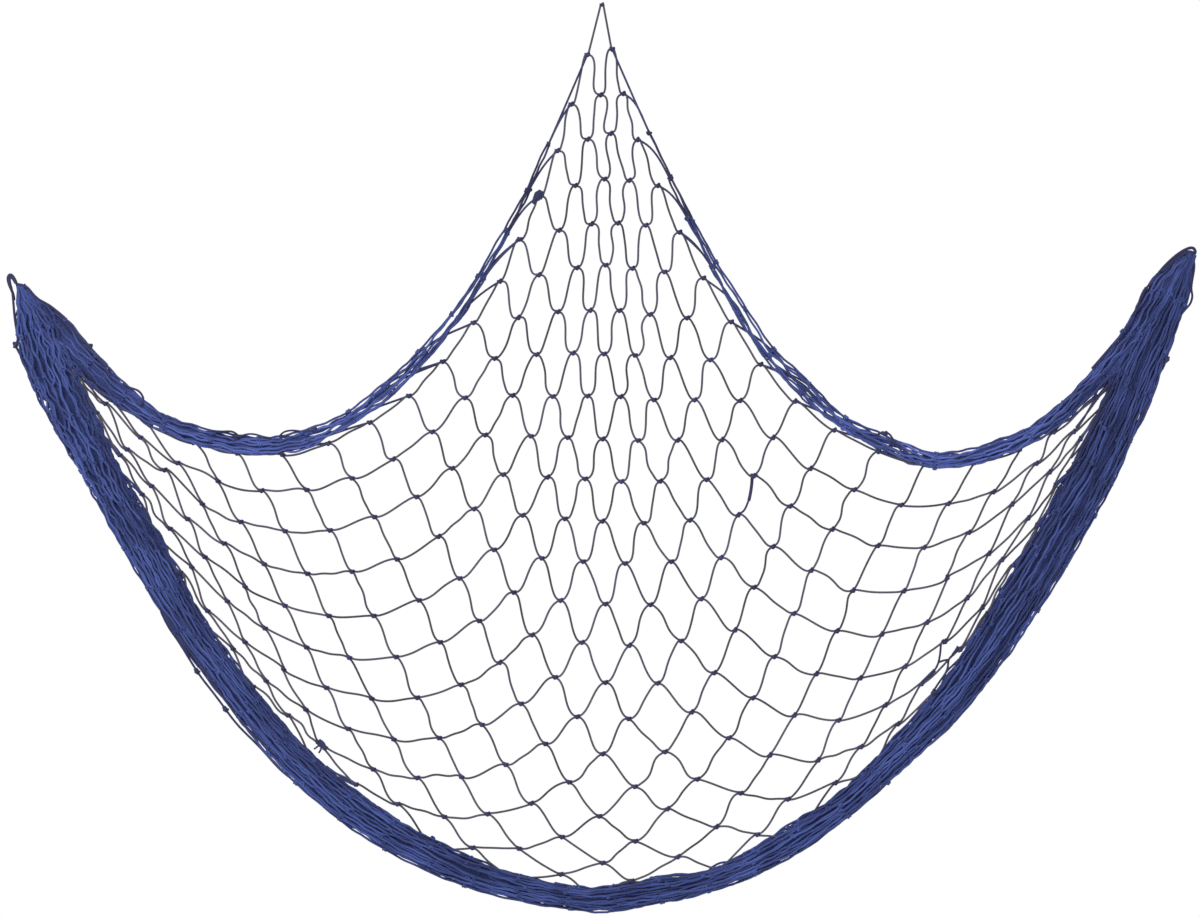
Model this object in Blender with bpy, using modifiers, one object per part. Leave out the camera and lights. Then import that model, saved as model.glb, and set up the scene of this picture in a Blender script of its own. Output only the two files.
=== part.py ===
"""Decorative fishing net, hung in a swag from three points.

One knotted diamond-mesh net of blue twine. A mesh in the middle of its top edge hangs on one
point, and its two gathered ends hang on two lower ones. The slack top gathers into two swags
beside the peak, and the slack bottom into a thick band from corner to corner. Between them the
net hangs open. It is one fused solid: the open meshes are cut through, the knots are raised,
and the gathered parts are ridged bodies.

Frame: metres, +Z up, +X to the right, -Y towards the room. The origin is the knot at the peak.
"""

import math

import bmesh
import bpy
import numpy as np
from mathutils import Vector

MM = 0.001

# Twine and mesh
BAR = 0.050                 # twine from knot to knot
TWINE = 0.0028              # thickness of a bar of the net
KNOT = 0.0062               # thickness at a knot
REPAIR_KNOT = 0.0115        # the lump where a torn mesh was tied again
BOW = 0.035                 # bow of a slack bar, as a share of its length
BILLOW = 0.008              # how far the open net swells towards the room

# Size of the open net, counted in bars from the peak
BARS_LEFT = 18              # bars down-left, as far as the left part of the band
BARS_RIGHT = 17             # bars down-right, as far as the right part of the band
ROWS_OPEN = 24              # knot rows from the peak to the bottom of the open net
REPAIR_AT = (4, 0)          # bars left and right of the peak, to the repair knot
TAIL_AT = (2, 9)            # knot where a thick end of twine hangs down
TAIL_LENGTH = 0.026
TAIL_THICKNESS = 0.0042

# Where every few knots of the open net hang: one row of the table for each of these numbers of
# bars to the left of the peak, one pair of (x, z) in mm for each number of bars to the right.
FORM_LEFT = (0, 2, 6, 10, 14, 18)
FORM_RIGHT = (0, 2, 6, 10, 14, 17)
FORM = (
    ((0, 0), (22, -93), (107, -287), (244, -448), (439, -467), (557, -380)),
    ((-31, -104), (0, -182), (71, -371), (196, -528), (387, -554), (509, -458)),
    ((-108, -291), (-69, -367), (1, -542), (117, -703), (293, -743), (413, -647)),
    ((-244, -439), (-195, -517), (-107, -691), (-2, -849), (166, -908), (303, -837)),
    ((-431, -459), (-379, -543), (-289, -717), (-180, -885), (-5, -1000), (140, -995)),
    ((-594, -345), (-525, -418), (-457, -607), (-358, -774), (-202, -932), (-86, -1005)),
)

# Gathered parts: one row for each section along the middle of the bundle.
# Columns: x, z, width in the plane of the net, depth across it, all in mm.
LEFT_SWAG = (
    (0, -4, 5, 5),
    (-13, -53, 6, 5),
    (-32, -104, 8, 6),
    (-50, -152, 10, 7),
    (-71, -199, 14, 8),
    (-92, -245, 18, 9),
    (-116, -286, 22, 10),
    (-145, -328, 24, 11),
    (-177, -367, 26, 12),
    (-212, -404, 27, 12),
    (-251, -430, 26, 13),
    (-294, -452, 26, 13),
    (-338, -463, 25, 13),
    (-385, -462, 25, 13),
    (-428, -450, 23, 13),
    (-474, -430, 21, 13),
    (-512, -406, 24, 13),
    (-547, -374, 30, 14),
    (-584, -333, 30, 13),
    (-608, -306, 20, 11),
    (-619, -292, 9, 8),
)
RIGHT_SWAG = (
    (0, -6, 6, 6),
    (9, -45, 6, 5),
    (26, -91, 10, 6),
    (47, -141, 15, 8),
    (69, -189, 19, 9),
    (91, -239, 21, 10),
    (116, -282, 22, 11),
    (145, -328, 24, 12),
    (175, -368, 27, 12),
    (209, -407, 26, 13),
    (250, -442, 23, 13),
    (295, -465, 22, 13),
    (341, -479, 22, 13),
    (389, -477, 22, 13),
    (436, -461, 21, 13),
    (476, -438, 22, 13),
    (514, -408, 27, 14),
    (545, -370, 34, 14),
    (573, -317, 34, 14),
    (597, -278, 27, 13),
    (616, -264, 12, 9),
)
BAND = (
    (-619, -294, 9, 8),
    (-605, -314, 32, 16),
    (-587, -363, 55, 20),
    (-566, -416, 53, 22),
    (-542, -468, 48, 22),
    (-515, -521, 45, 22),
    (-486, -566, 43, 22),
    (-434, -651, 40, 21),
    (-381, -723, 40, 20),
    (-328, -786, 37, 20),
    (-276, -834, 40, 20),
    (-223, -871, 38, 19),
    (-171, -898, 36, 19),
    (-118, -919, 31, 18),
    (-65, -933, 28, 18),
    (-2, -941, 29, 18),
    (45, -935, 31, 18),
    (98, -925, 26, 18),
    (151, -906, 29, 19),
    (203, -877, 32, 19),
    (256, -839, 32, 20),
    (308, -787, 37, 20),
    (361, -734, 41, 21),
    (414, -662, 49, 22),
    (466, -580, 51, 22),
    (508, -503, 56, 22),
    (547, -416, 61, 22),
    (577, -358, 55, 20),
    (600, -311, 40, 16),
    (613, -284, 24, 12),
    (621, -264, 9, 8),
)
WELD = 0.00002              # points nearer than this are one point
LINE_POINTS = 600           # points along the middle of a bundle, to find the nearest one
RIM_DEPTH = 0.0004          # the rim's knots lie this far behind the middle of the bundles
SWAG_SECTIONS = 30
SWAG_SIDES = 8
BAND_SECTIONS = 52
BAND_SIDES = 10
RIDGE = 0.09                # height of the strands' ridges, as a share of the bundle's radius
RIDGE_TURN = 0.55           # turn of the ridges from one section to the next, radians
SIDE_TURN = 0.05             # turn of the first side off the plane of the net, radians
LUMP = 0.06                 # swelling of the bundle where knots lie together

# Small eyes of twine by which the two gathered ends hang.
# Columns: x, z of the middle, width, height in mm, lean from upright in degrees.
EYES = {
    "left_eye": (-621, -286, 8, 17, 12),
    "right_eye": (622, -263, 8, 13, -40),
}
EYE_TWINE = 0.0032
EYE_POINTS = 14

COLOUR = (0.035, 0.060, 0.280, 1.0)
ROUGHNESS = 0.75


def clear_scene():
    for thing in list(bpy.data.objects):
        bpy.data.objects.remove(thing, do_unlink=True)


def new_collection(name):
    group = bpy.data.collections.new(name)
    bpy.context.scene.collection.children.link(group)
    return group


def twine_material():
    material = bpy.data.materials.new("blue_twine")
    material.use_nodes = True
    shader = material.node_tree.nodes["Principled BSDF"]
    shader.inputs["Base Color"].default_value = COLOUR
    shader.inputs["Roughness"].default_value = ROUGHNESS
    shader.inputs["Metallic"].default_value = 0.0
    material.diffuse_color = COLOUR
    return material


# ---------------------------------------------------------------- smooth curves through tables

def spline_bends(places, values):
    """Second derivatives of the cubic spline through values at the given places."""
    count = len(places)
    spans = np.diff(places)
    matrix = np.eye(count)
    target = np.zeros(values.shape)
    for k in range(1, count - 1):
        matrix[k, k - 1:k + 2] = (spans[k - 1], 2.0 * (spans[k - 1] + spans[k]), spans[k])
        rise = (values[k + 1] - values[k]) / spans[k]
        target[k] = 6.0 * (rise - (values[k] - values[k - 1]) / spans[k - 1])
    matrix[0, 1] = -0.5
    matrix[-1, -2] = -0.5
    return np.tensordot(np.linalg.inv(matrix), target, axes=(1, 0))


def spline_at(places, values, bends, place):
    """Value of that spline at one place."""
    k = int(np.clip(np.searchsorted(places, place) - 1, 0, len(places) - 2))
    span = places[k + 1] - places[k]
    left = (places[k + 1] - place) / span
    right = (place - places[k]) / span
    curved = (left ** 3 - left) * bends[k] + (right ** 3 - right) * bends[k + 1]
    return left * values[k] + right * values[k + 1] + curved * span * span / 6.0


# ---------------------------------------------------------------- the open net

def hanging_knots():
    """Place of each knot of the open net, keyed by its bars left and right of the peak."""
    left_steps = np.array(FORM_LEFT, float)
    right_steps = np.array(FORM_RIGHT, float)
    form = np.array(FORM, float) * MM
    down_left = spline_bends(left_steps, form)
    knots = {}
    for left in range(BARS_LEFT + 1):
        line = spline_at(left_steps, form, down_left, left)
        down_right = spline_bends(right_steps, line)
        for right in range(BARS_RIGHT + 1):
            if left + right > ROWS_OPEN:
                continue
            x, z = spline_at(right_steps, line, down_right, right)
            swell = math.sin(math.pi * left / BARS_LEFT) * math.sin(math.pi * right / BARS_RIGHT)
            fade = 1.0 - ((left + right) / ROWS_OPEN) ** 3
            knots[left, right] = Vector((x, -BILLOW * swell * fade * 2.0, z))
    return knots


def bar_middle(start, end, side):
    """Middle of a bar, bowed sideways in the plane of the net."""
    along = end - start
    across = Vector((along.z, 0.0, -along.x)) * side
    return (start + end) / 2.0 + across * BOW


def middle_line(table):
    """Points along the middle of a gathered part, a few mm apart."""
    rows = np.array(table, float)[:, :2] * MM
    places = np.concatenate(([0.0], np.cumsum(np.hypot(*np.diff(rows, axis=0).T))))
    bends = spline_bends(places, rows)
    stations = np.linspace(0.0, places[-1], LINE_POINTS)
    return np.array([spline_at(places, rows, bends, place) for place in stations])


def rim_part(left, right):
    """The gathered part that holds a knot at the rim of the open net, if one does."""
    if left + right == 0:
        return None
    if left == BARS_LEFT or right == BARS_RIGHT or left + right == ROWS_OPEN:
        return "band"
    if right == 0:
        return "left_swag"
    if left == 0:
        return "right_swag"
    return None


def draw_rim_in(knots):
    """Put the knots at the rim of the open net in the middle of the gathered parts."""
    lines = {"left_swag": middle_line(LEFT_SWAG), "right_swag": middle_line(RIGHT_SWAG),
             "band": middle_line(BAND)}
    for key, place in knots.items():
        part = rim_part(*key)
        if part is None:
            continue
        line = lines[part]
        gaps = np.hypot(line[:, 0] - place.x, line[:, 1] - place.z)
        x, z = line[int(np.argmin(gaps))]
        knots[key] = Vector((x, RIM_DEPTH, z))


def knot_bulk(key):
    """Thickness of a knot, as a share of an ordinary one."""
    if key == REPAIR_AT:
        return REPAIR_KNOT / KNOT
    if rim_part(*key) is not None:
        return TWINE / KNOT
    return 1.0


def net_sheet(knots):
    """The open meshes as faces of a sheet: a knot at each corner, a point in each bar."""
    sheet = bmesh.new()
    bulk = sheet.verts.layers.deform.verify()
    corners = {}
    for key, place in knots.items():
        corners[key] = sheet.verts.new(place)
        corners[key][bulk][0] = knot_bulk(key)
    middles = {}

    def middle(key_a, key_b):
        if (key_a, key_b) not in middles:
            side = 1.0 if key_b[0] > key_a[0] else -1.0
            place = bar_middle(knots[key_a], knots[key_b], side)
            point = sheet.verts.new(place)
            point[bulk][0] = TWINE / KNOT
            middles[key_a, key_b] = point
        return middles[key_a, key_b]

    for left, right in knots:
        top, west, east = (left, right), (left + 1, right), (left, right + 1)
        foot = (left + 1, right + 1)
        if west in knots and east in knots and foot in knots:
            sheet.faces.new((corners[top], middle(top, west), corners[west], middle(west, foot),
                             corners[foot], middle(east, foot), corners[east],
                             middle(top, east)))
    loose = [point for point in sheet.verts if not point.link_faces]
    bmesh.ops.delete(sheet, geom=loose, context="VERTS")
    mesh = bpy.data.meshes.new("net_sheet")
    sheet.to_mesh(mesh)
    sheet.free()
    return mesh


def build_net(parts, knots, material):
    net = bpy.data.objects.new("net", net_sheet(knots))
    parts.objects.link(net)
    net.data.materials.append(material)
    net.vertex_groups.new(name="thickness")
    wire = net.modifiers.new("twine", "WIREFRAME")
    wire.thickness = KNOT
    wire.offset = 0.0
    wire.use_replace = True
    wire.use_boundary = True
    wire.use_even_offset = True
    wire.vertex_group = "thickness"
    wire.thickness_vertex_group = 0.0
    return net


# ---------------------------------------------------------------- the gathered parts

def mesh_object(name, group, shape):
    mesh = bpy.data.meshes.new(name)
    bmesh.ops.recalc_face_normals(shape, faces=shape.faces)
    shape.to_mesh(mesh)
    shape.free()
    thing = bpy.data.objects.new(name, mesh)
    group.objects.link(thing)
    thing.hide_render = True
    thing.display_type = "WIRE"
    return thing


def bundle(name, group, table, sections, sides):
    """A gathered part: a loft of ridged ovals along the smooth curve through the table."""
    rows = np.array(table, float) * MM
    steps = np.hypot(*np.diff(rows[:, :2], axis=0).T)
    places = np.concatenate(([0.0], np.cumsum(steps)))
    bends = spline_bends(places, rows)
    shape = bmesh.new()
    rings = []
    for s in range(sections):
        place = places[-1] * s / (sections - 1)
        x, z, width, depth = spline_at(places, rows, bends, place)
        ahead = spline_at(places, rows, bends, min(place + MM, places[-1]))
        behind = spline_at(places, rows, bends, max(place - MM, 0.0))
        along = Vector((ahead[0] - behind[0], 0.0, ahead[1] - behind[1])).normalized()
        across = Vector((along.z, 0.0, -along.x))
        swell = 1.0 + LUMP * math.sin(2.1 * s) * math.sin(0.7 * s + 1.0)
        ring = []
        for k in range(sides):
            angle = 2.0 * math.pi * k / sides + SIDE_TURN
            ridge = 1.0 + RIDGE * math.cos(angle * sides / 2.0 + s * RIDGE_TURN)
            reach = across * math.cos(angle) * width / 2.0
            reach.y = math.sin(angle) * depth / 2.0
            ring.append(shape.verts.new(Vector((x, 0.0, z)) + reach * ridge * swell))
        rings.append(ring)
    for first, second in zip(rings[:-1], rings[1:]):
        for k in range(sides):
            n = (k + 1) % sides
            shape.faces.new((first[k], first[n], second[n], second[k]))
    shape.faces.new(rings[0])
    shape.faces.new(reversed(rings[-1]))
    return mesh_object(name, group, shape)


def curve_solid(name, group, points, thickness, closed):
    """A round twine along points, as a closed mesh."""
    data = bpy.data.curves.new(name, "CURVE")
    data.dimensions = "3D"
    data.bevel_depth = thickness / 2.0
    data.bevel_resolution = 1
    data.use_fill_caps = True
    line = data.splines.new("POLY")
    line.points.add(len(points) - 1)
    for slot, point in zip(line.points, points):
        slot.co = (*point, 1.0)
    line.use_cyclic_u = closed
    path = bpy.data.objects.new(name + "_path", data)
    group.objects.link(path)
    depsgraph = bpy.context.evaluated_depsgraph_get()
    mesh = bpy.data.meshes.new_from_object(path.evaluated_get(depsgraph))
    bpy.data.objects.remove(path, do_unlink=True)
    shape = bmesh.new()
    shape.from_mesh(mesh)
    bmesh.ops.remove_doubles(shape, verts=shape.verts, dist=0.00005)
    bpy.data.meshes.remove(mesh)
    return mesh_object(name, group, shape)


def eye(name, group, x, z, width, height, lean):
    """A small eye of twine at a gathered end."""
    tilt = math.radians(lean)
    points = []
    for k in range(EYE_POINTS):
        angle = 2.0 * math.pi * k / EYE_POINTS
        u = math.cos(angle) * width / 2.0
        v = math.sin(angle) * height / 2.0
        points.append(Vector((x + u * math.cos(tilt) - v * math.sin(tilt), 0.0,
                              z + u * math.sin(tilt) + v * math.cos(tilt))) * MM)
    return curve_solid(name, group, points, EYE_TWINE, True)


def tail(name, group, knots):
    """A thick end of twine that hangs from one knot."""
    top = knots[TAIL_AT]
    points = [top + Vector((0.0, 0.0, 0.001)),
              top + Vector((-0.001, -0.001, -TAIL_LENGTH * 0.45)),
              top + Vector((-0.004, -0.001, -TAIL_LENGTH))]
    return curve_solid(name, group, points, TAIL_THICKNESS, False)


def join_all(net, group):
    """Fuse the open net and the gathered parts into one solid."""
    joined = net.modifiers.new("gathered_parts", "BOOLEAN")
    joined.operation = "UNION"
    joined.solver = "EXACT"
    joined.operand_type = "COLLECTION"
    joined.collection = group
    depsgraph = bpy.context.evaluated_depsgraph_get()
    mesh = bpy.data.meshes.new_from_object(net.evaluated_get(depsgraph))
    net.modifiers.clear()
    net.data = mesh
    shape = bmesh.new()
    shape.from_mesh(mesh)
    bmesh.ops.remove_doubles(shape, verts=shape.verts, dist=WELD)
    bmesh.ops.dissolve_degenerate(shape, edges=shape.edges, dist=WELD)
    bmesh.ops.triangulate(shape, faces=shape.faces)
    drop_flaps(shape)
    shape.to_mesh(mesh)
    shape.free()


def drop_flaps(shape):
    """Delete triangles that lie back to back on the same three points."""
    on_points = {}
    for face in shape.faces:
        on_points.setdefault(frozenset(face.verts), []).append(face)
    flaps = [face for faces in on_points.values() if len(faces) > 1 for face in faces]
    bmesh.ops.delete(shape, geom=flaps, context="FACES")
    wires = [edge for edge in shape.edges if not edge.link_faces]
    bmesh.ops.delete(shape, geom=wires, context="EDGES")
    loose = [point for point in shape.verts if not point.link_faces]
    bmesh.ops.delete(shape, geom=loose, context="VERTS")


def main():
    clear_scene()
    parts = new_collection("fishing_net")
    shapes = new_collection("gathered_shapes")
    material = twine_material()
    knots = hanging_knots()
    draw_rim_in(knots)
    net = build_net(parts, knots, material)
    bundle("left_swag", shapes, LEFT_SWAG, SWAG_SECTIONS, SWAG_SIDES)
    bundle("right_swag", shapes, RIGHT_SWAG, SWAG_SECTIONS, SWAG_SIDES)
    bundle("band", shapes, BAND, BAND_SECTIONS, BAND_SIDES)
    for name, row in EYES.items():
        eye(name, shapes, *row)
    tail("tail", shapes, knots)
    join_all(net, shapes)


main()
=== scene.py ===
"""Looks of the decorative fishing net.

The net is made again as twine. The open meshes are slack bars tied at wrapped knots, and the
gathered parts, two swags and a thick band, are the rest of the same knotted meshes folded
together. Metres, +Z up, +X to the right, -Y towards the room, the origin at the knot at the peak.
"""

import math
from collections import namedtuple

import bpy
import numpy as np
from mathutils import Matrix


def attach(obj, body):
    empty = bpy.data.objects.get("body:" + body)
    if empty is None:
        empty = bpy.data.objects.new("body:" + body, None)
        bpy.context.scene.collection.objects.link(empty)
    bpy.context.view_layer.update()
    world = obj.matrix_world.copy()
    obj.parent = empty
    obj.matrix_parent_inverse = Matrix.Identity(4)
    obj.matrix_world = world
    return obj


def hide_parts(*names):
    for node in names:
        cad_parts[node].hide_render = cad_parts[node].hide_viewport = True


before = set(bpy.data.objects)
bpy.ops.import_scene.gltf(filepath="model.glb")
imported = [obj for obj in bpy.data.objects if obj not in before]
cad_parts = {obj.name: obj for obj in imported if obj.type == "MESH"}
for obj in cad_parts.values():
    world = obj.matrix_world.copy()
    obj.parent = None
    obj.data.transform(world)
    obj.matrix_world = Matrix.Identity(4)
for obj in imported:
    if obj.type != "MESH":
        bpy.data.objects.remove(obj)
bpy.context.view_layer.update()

MM = 0.001
TURN = 2.0 * math.pi
INWARD = np.array((0.0, 1.0, 0.0))

# ---- sizes, as in the part's source

BAR = 0.050                 # twine from knot to knot
BILLOW = 0.008              # how far the open net swells towards the room
BARS_LEFT = 18
BARS_RIGHT = 17
ROWS_OPEN = 24
FREE_ROW_FROM = 15          # further left than this, one more row of the open net hangs free
REPAIR_AT = (4, 0)
MENDED_BARS = (((2, 9), (3, 9)), ((5, 15), (6, 15)), ((6, 16), (7, 16)))

# Where every few knots of the open net hang, in mm: one row for each number of bars to the left
# of the peak, one pair of (x, z) for each number of bars to the right.
FORM_LEFT = (0, 2, 6, 10, 14, 18)
FORM_RIGHT = (0, 2, 6, 10, 14, 17)
FORM = (
    ((0, 0), (22, -93), (107, -287), (244, -448), (439, -467), (557, -380)),
    ((-31, -104), (0, -182), (71, -371), (196, -528), (387, -554), (509, -458)),
    ((-108, -291), (-69, -367), (1, -542), (117, -703), (293, -743), (413, -647)),
    ((-244, -439), (-195, -517), (-107, -691), (-2, -849), (166, -908), (303, -837)),
    ((-431, -459), (-379, -543), (-289, -717), (-180, -885), (-5, -1000), (140, -995)),
    ((-594, -345), (-525, -418), (-457, -607), (-358, -774), (-202, -932), (-86, -1005)),
)

# Where the open net is drawn off that even form: the middle of the place in bars left and right
# of the peak, how far it reaches either way, and how far it is drawn sideways and up, in mm.
PULLS = (
    (4.0, 4.0, 2.6, 2.6, 0, -5), (12.3, 5.0, 1.5, 3.4, -1, -7), (12.2, 0.0, 1.5, 0.6, 0, -5),
    (2.0, 12.5, 3.5, 1.3, 0, -8), (3.6, 8.6, 2.0, 1.8, 6, 3), (1.5, 7.5, 1.2, 1.2, 0, 3),
    (16.6, 7.3, 1.3, 2.4, 2, 11), (6.5, 15.8, 2.2, 1.2, 1, 12), (1.5, 16.0, 1.5, 0.7, 0, 8),
    (8.6, 13.6, 1.2, 0.9, 10, 2), (10.5, 10.0, 1.8, 1.5, 0, -4), (3.0, 2.0, 2.0, 1.2, 3, 0),
    (17.5, 3.0, 1.0, 1.4, -6, -3),
)
# Single knots that hang beside their place, mostly near the band: sideways and up, in mm.
SHIFTS = {
    (18, 1): (5, -12), (18, 2): (-4, -10), (18, 3): (0, -9), (18, 4): (4, -3), (18, 6): (13, 7),
    (17, 2): (-4, -4), (17, 5): (3, 3), (17, 7): (7, 0), (17, 8): (5, 3), (16, 2): (-2, 6),
    (16, 4): (-3, 4), (16, 8): (0, 7), (15, 8): (-9, 6), (15, 9): (0, 8), (14, 9): (-2, 4),
    (13, 10): (-3, 4), (12, 11): (6, 3), (11, 11): (5, 1), (11, 12): (-5, 4), (10, 12): (4, 3),
    (9, 11): (-3, 3), (9, 12): (6, 1), (8, 9): (-4, 0), (8, 11): (-4, -2), (7, 13): (5, 2),
    (8, 14): (5, 9), (7, 14): (5, 6), (6, 14): (5, 5), (7, 15): (3, 4), (3, 12): (-4, -3),
    (2, 15): (0, 5), (1, 15): (0, 5), (0, 15): (-7, -4), (4, 16): (-4, 4), (6, 17): (-9, 1),
    (5, 17): (-5, 5), (4, 17): (-5, 0), (3, 17): (-9, -4), (2, 17): (-6, 0), (1, 2): (-4, 2),
}

# Middle lines of the gathered parts: x, z, width and depth in mm.
LEFT_SWAG = (
    (0, -4, 5, 5), (-13, -53, 7, 5), (-35, -104, 9, 6), (-56, -151, 7, 7), (-78, -198, 7, 8),
    (-101, -242, 8, 9), (-125, -283, 10, 10), (-151, -325, 12, 11), (-183, -363, 14, 12),
    (-217, -400, 16, 12), (-253, -428, 16, 12), (-294, -451, 18, 13), (-338, -464, 20, 13),
    (-385, -463, 20, 13), (-429, -453, 18, 13), (-475, -432, 19, 13), (-512, -406, 25, 13),
    (-547, -373, 31, 14), (-584, -333, 33, 13), (-602, -313, 22, 11), (-613, -299, 7, 8),
)
RIGHT_SWAG = (
    (0, -6, 6, 6), (9, -45, 6, 5), (28, -91, 7, 6), (51, -141, 6, 8), (74, -189, 7, 9),
    (97, -237, 9, 10), (121, -280, 11, 11), (148, -326, 13, 12), (176, -367, 16, 12),
    (212, -404, 17, 12), (252, -439, 14, 12), (296, -462, 16, 12), (341, -479, 18, 13),
    (389, -477, 18, 13), (436, -460, 17, 13), (476, -437, 19, 13), (513, -402, 22, 14),
    (547, -366, 27, 14), (578, -319, 33, 14), (601, -280, 27, 13), (617, -262, 11, 9),
)
BAND = (
    (-613, -290, 5, 6), (-611, -298, 13, 9), (-609, -306, 25, 14), (-603, -318, 37, 17),
    (-587, -363, 55, 20), (-565, -415, 50, 22), (-540, -467, 44, 22), (-511, -519, 41, 22),
    (-484, -565, 44, 22), (-435, -652, 37, 21), (-382, -724, 37, 20), (-329, -787, 37, 20),
    (-276, -835, 39, 20), (-223, -872, 38, 19), (-171, -899, 37, 19), (-118, -920, 31, 18),
    (-65, -933, 28, 18), (-2, -941, 29, 18), (45, -934, 32, 18), (98, -925, 26, 18),
    (151, -906, 29, 19), (203, -877, 32, 19), (257, -840, 28, 20), (310, -790, 33, 20),
    (363, -736, 38, 21), (416, -663, 46, 22), (467, -581, 52, 22), (511, -504, 51, 22),
    (552, -415, 50, 22), (575, -357, 50, 20), (598, -312, 36, 16), (611, -284, 23, 12),
    (622, -257, 9, 8),
)

# ---- twine

THREAD = 0.00112            # radius of a bar of the open net
GATHERED_THREAD = 0.00118   # radius of the twine in the gathered parts, which lies looser
OPEN_SIDES = 8
OPEN_STEPS = 14             # pieces of a bar of the open net
GATHERED_SIDES = 6
GATHERED_STEPS = 10
BAND_KNOT_SIDES = 5
CORE_SIDES = 12
LOOSE_SIDES = 8
LOOSE_STEPS = 4

KNOT_HALF = 2.4             # where bars enter a knot, in radii of the twine: sideways
KNOT_RISE = 0.8             # and up or down
KNOT_STEPS = 3
KNOT_TILT = 0.75            # how far a knot tilts with the twine that runs through it
KNOT_SPREAD = 0.20          # unevenness of the knots' tilt, radians
KNOT_STRAY = 0.0006         # unevenness of the knots' places
KINK = 0.0006               # how far a bar wanders between its knots
PEAK_KNOT = 0.8             # size of the knot at the peak, as a share
LONGEST_BAR = BAR * 1.5     # knots on the band that lie further apart have no bar that shows

# A netting knot in radii of its twine: the bight of the mesh above, and the twine that is
# wrapped round it and tied off.
BIGHT = (
    (-2.4, 0.0, 0.8), (-1.4, 0.3, 0.1), (-0.9, 0.2, -1.0), (0.0, 0.1, -1.7), (0.9, 0.2, -1.0),
    (1.4, 0.3, 0.1), (2.4, 0.0, 0.8),
)
WRAP = (
    (-2.4, 0.0, -0.8), (-1.5, -1.3, -0.5), (-0.4, -1.9, 0.5), (0.9, -1.3, 1.5), (1.9, 0.2, 1.5),
    (1.0, 1.6, 1.0), (-0.8, 1.6, 0.8), (-2.1, 0.3, 0.9), (-1.6, -1.5, 0.4), (0.2, -2.1, -0.6),
    (1.5, -1.2, -0.9), (2.4, 0.0, -0.8),
)

TAUT = 0.0515               # a bar with this distance between its knots is straight,
SLACK = 0.0425              # and with this one it bends as far as it can
SAG = 0.0010                # sag of a level bar
LEAN = (0.32, 0.58)         # how far sideways a straight bar leaves its knot, and a slack one more
EDGE_LEAN = 0.3             # share of that along the top edge of the net
PULL = (0.20, 0.06)         # how long it keeps that way, and a slack bar more, by its length

# Knots on the band: the least and the usual way in, as shares of its half width, and the depth
# of those in front and behind.
ON_BAND = (0.35, 0.75)
ON_BAND_DEPTH = (-0.004, 0.002)

BAND_MIDDLE_STRANDS = 34    # lines of twine at the bottom of the band
BAND_END_STRANDS = 56       # and at its two ends
TRIM = 0.005                # the lines of a gathered part end this far from its ends,
KNOT_TRIM = 0.020           # its knots this far
CORE_TRIM = 0.012           # and its packed core this far
CORE = 0.80                 # width of the core, as a share,
CORE_DEPTH = 0.3            # its depth by its width,
CORE_END = 0.3              # its width at its ends by that in the middle,
CORE_TAPER = 0.03           # the length over which it grows,
CORE_STEP = 0.012           # and the length of its pieces
SWAG_CORE_FROM = 0.60       # share of a swag's length from which it has a core
SWAG_BAR = BAR * 1.03       # length of a swag for each row of its knots
SWAG_START_ROWS = 4.5       # so many of them belong to its thin start
SWAG_LEADS = {True: 0.006, False: 0.020}    # how far ahead the first rows are, left and right
GATHERED_KNOT = (0.62, 1.25)    # width and height of a packed knot, as shares of a loose one's
KNOT_THREAD = GATHERED_THREAD * 0.95

# How unevenly the lines of a gathered part lie. Two slow waves each move them sideways, inward
# and along, and two make them paler: their turn from line to line and from row to row.
DRIFT = (((0.9, 0.31), (0.37, -0.5)), ((1.3, 0.23), (0.53, 0.61)), ((1.1, 1.7), (0.21, 0.4)))
DRIFT_SIZE = 0.35
CHANCE_ALONG = 0.35
CHANCE_ACROSS = 0.45
DEEPER = 1.6                # they stray this much more in depth than across
TONE = 0.62
TONE_WAVES = ((0.15, 1.3, 0.30), (0.13, 0.55, -0.17))
TONE_CHANCE = 0.14
PAINTED_EDGE_SHADE = 0.3             # share of the paleness that the outermost line has: painted shade along the outer edge
FURROW_WIDTH = 0.22
FURROW_DEPTH = 0.7

# A furrow along the band, by the share of the way from its left end: how far it lies towards the
# outer edge (1) or the inner one (-1), and how deep it is. Its depth also sets the painted shade
# that darkens the twine in it.
BAND_FURROW = (
    (0.00, -0.2, 0.2), (0.06, -0.4, 0.4), (0.11, -0.75, 0.8), (0.20, -0.8, 0.7), (0.27, -0.6, 0.2),
    (0.40, 0.2, 0.3), (0.47, 0.0, 0.8), (0.55, 0.0, 0.6), (0.64, 0.6, 0.3), (0.72, 0.6, 0.8),
    (0.80, 0.45, 0.9), (0.85, 0.2, 1.0), (0.88, 0.0, 1.0), (0.95, 0.0, 1.0), (1.00, 0.0, 0.3),
)


# ---- smooth curves through tables

def spline_bends(places, values):
    """Second derivatives of the cubic spline through values at the given places."""
    count = len(places)
    spans = np.diff(places)
    matrix = np.eye(count)
    target = np.zeros(values.shape)
    for k in range(1, count - 1):
        matrix[k, k - 1:k + 2] = (spans[k - 1], 2.0 * (spans[k - 1] + spans[k]), spans[k])
        rise = (values[k + 1] - values[k]) / spans[k]
        target[k] = 6.0 * (rise - (values[k] - values[k - 1]) / spans[k - 1])
    matrix[0, 1] = -0.5
    matrix[-1, -2] = -0.5
    return np.tensordot(np.linalg.inv(matrix), target, axes=(1, 0))


def spline_at(places, values, bends, place):
    """Value of that spline at one place."""
    k = np.clip(np.searchsorted(places, place) - 1, 0, len(places) - 2)
    span = places[k + 1] - places[k]
    left = (places[k + 1] - place) / span
    right = (place - places[k]) / span
    curved = (left ** 3 - left) * bends[k] + (right ** 3 - right) * bends[k + 1]
    return left * values[k] + right * values[k + 1] + curved * span * span / 6.0


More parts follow.
